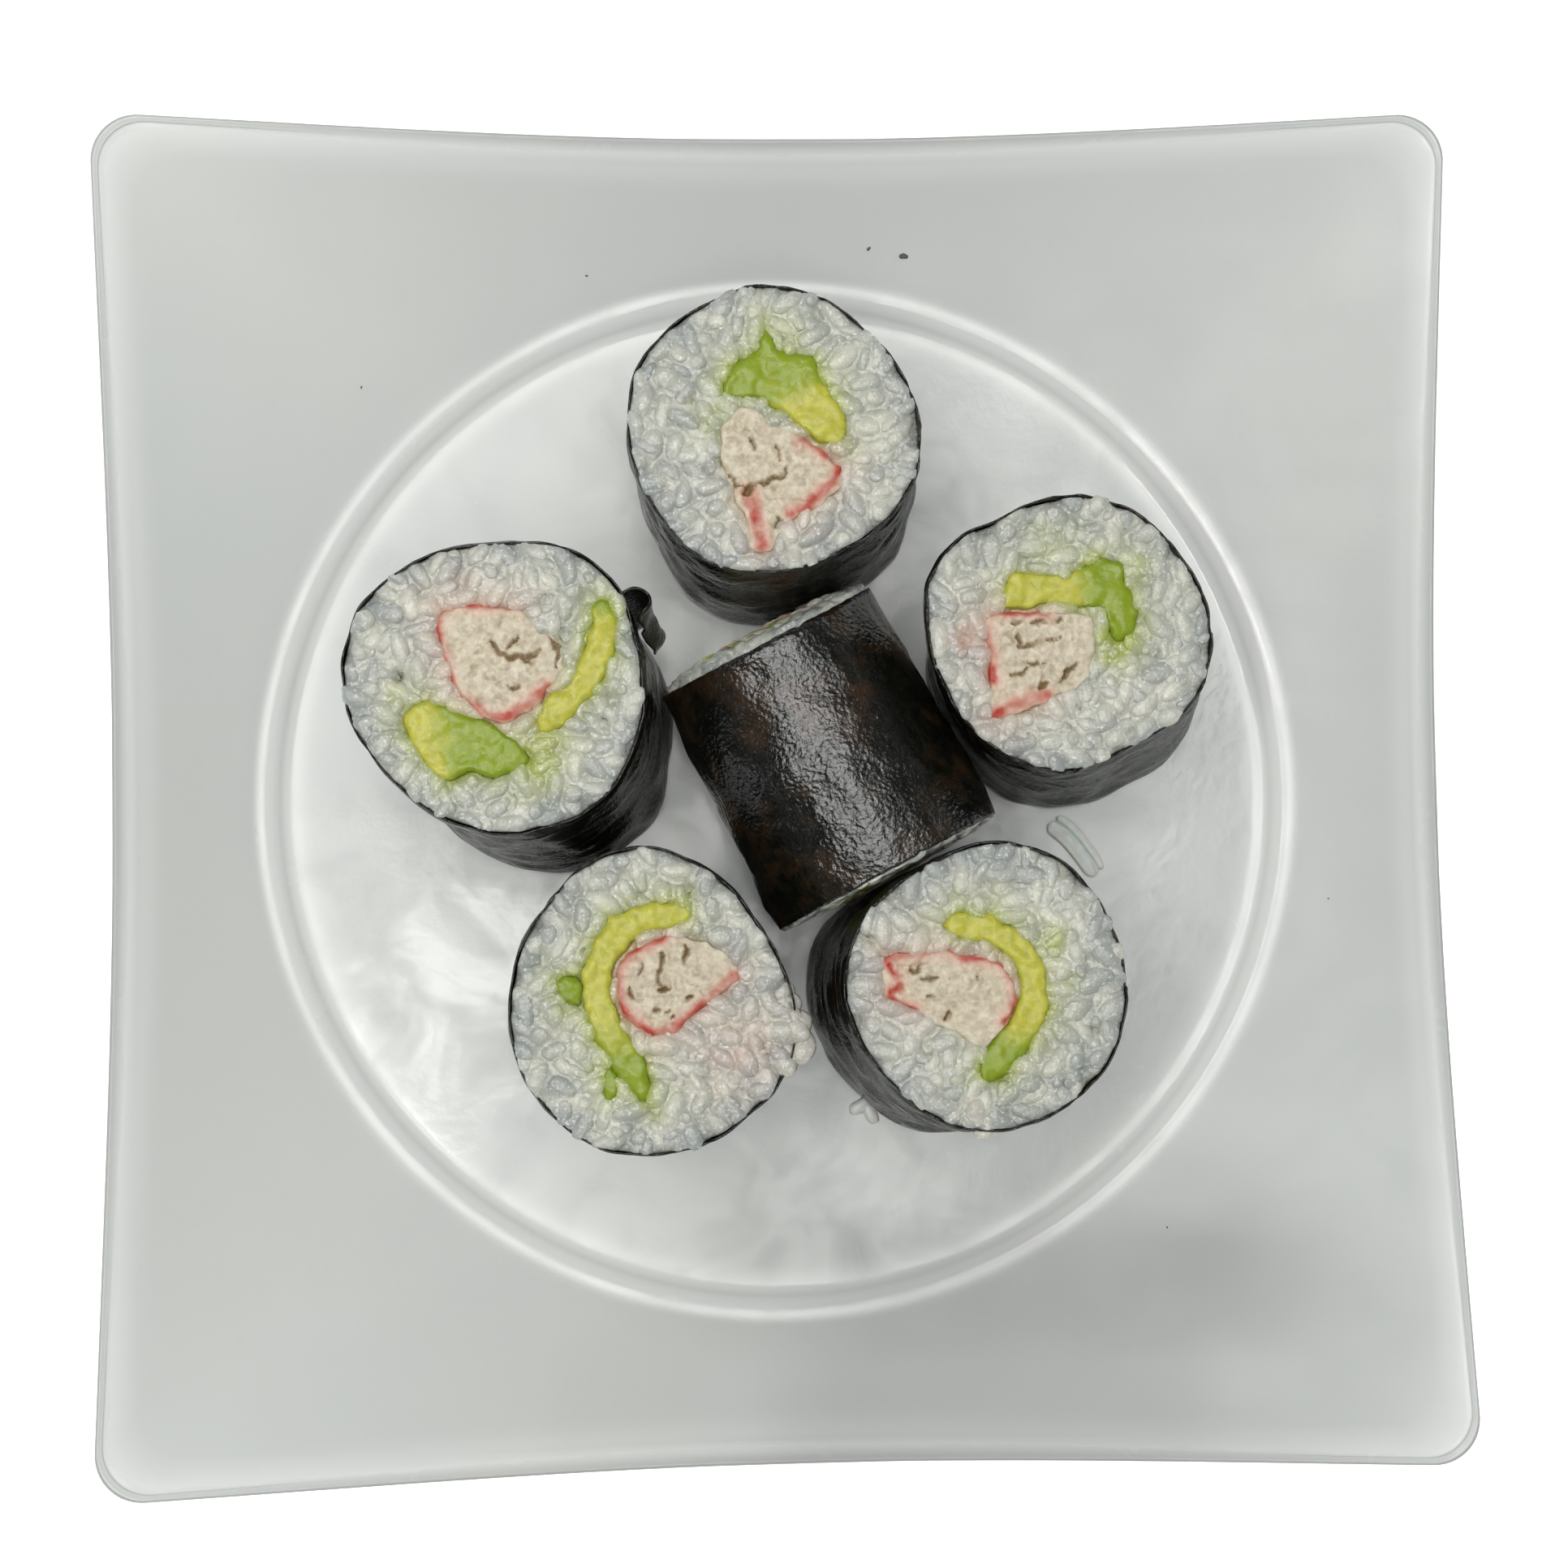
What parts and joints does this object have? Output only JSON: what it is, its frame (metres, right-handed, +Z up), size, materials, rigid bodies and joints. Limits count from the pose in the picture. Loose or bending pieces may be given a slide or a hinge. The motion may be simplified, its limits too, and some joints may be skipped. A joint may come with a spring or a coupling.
{
  "type": "california roll on a plate",
  "caption": "Square white plate with a round well and swept-up corners, holding cut pieces of seaweed-wrapped rice roll filled with crab stick and avocado.",
  "frame": {"origin": "on the surface the plate stands on, under the middle of the plate", "axes": "+Z up out of the plate, +Y towards the plate's far side as pictured, +X to its right"},
  "size_m": [0.21, 0.21, 0.0428],
  "materials": {
    "porcelain": "white porcelain under a clear gloss glaze",
    "seaweed": "damp dried seaweed, nearly black with brown patches, softly shiny",
    "rice": "moist cooked short-grain rice, milky and slightly glossy",
    "crab": "cream fibrous crab stick with a red skin, moist",
    "avocado": "ripe avocado, yellow to green, moist"
  },
  "bodies": {
    "root": {"plate": "porcelain", "back_roll_seaweed": "seaweed", "back_roll_rice": "rice", "back_roll_avocado": "avocado", "back_roll_crab": "crab", "left_roll_seaweed": "seaweed", "left_roll_rice": "rice", "left_roll_avocado_strip": "avocado", "left_roll_avocado_block": "avocado", "left_roll_crab": "crab", "right_roll_seaweed": "seaweed", "right_roll_rice": "rice", "right_roll_avocado": "avocado", "right_roll_crab": "crab", "front_left_roll_seaweed": "seaweed", "front_left_roll_rice": "rice", "front_left_roll_avocado": "avocado", "front_left_roll_avocado_bit_upper": "avocado", "front_left_roll_avocado_bit_lower": "avocado", "front_left_roll_crab": "crab", "front_right_roll_seaweed": "seaweed", "front_right_roll_rice": "rice", "front_right_roll_avocado": "avocado", "front_right_roll_crab": "crab", "middle_roll_seaweed": "seaweed", "middle_roll_rice": "rice", "middle_roll_avocado": "avocado", "middle_roll_crab": "crab"}
  },
  "joints": []
}
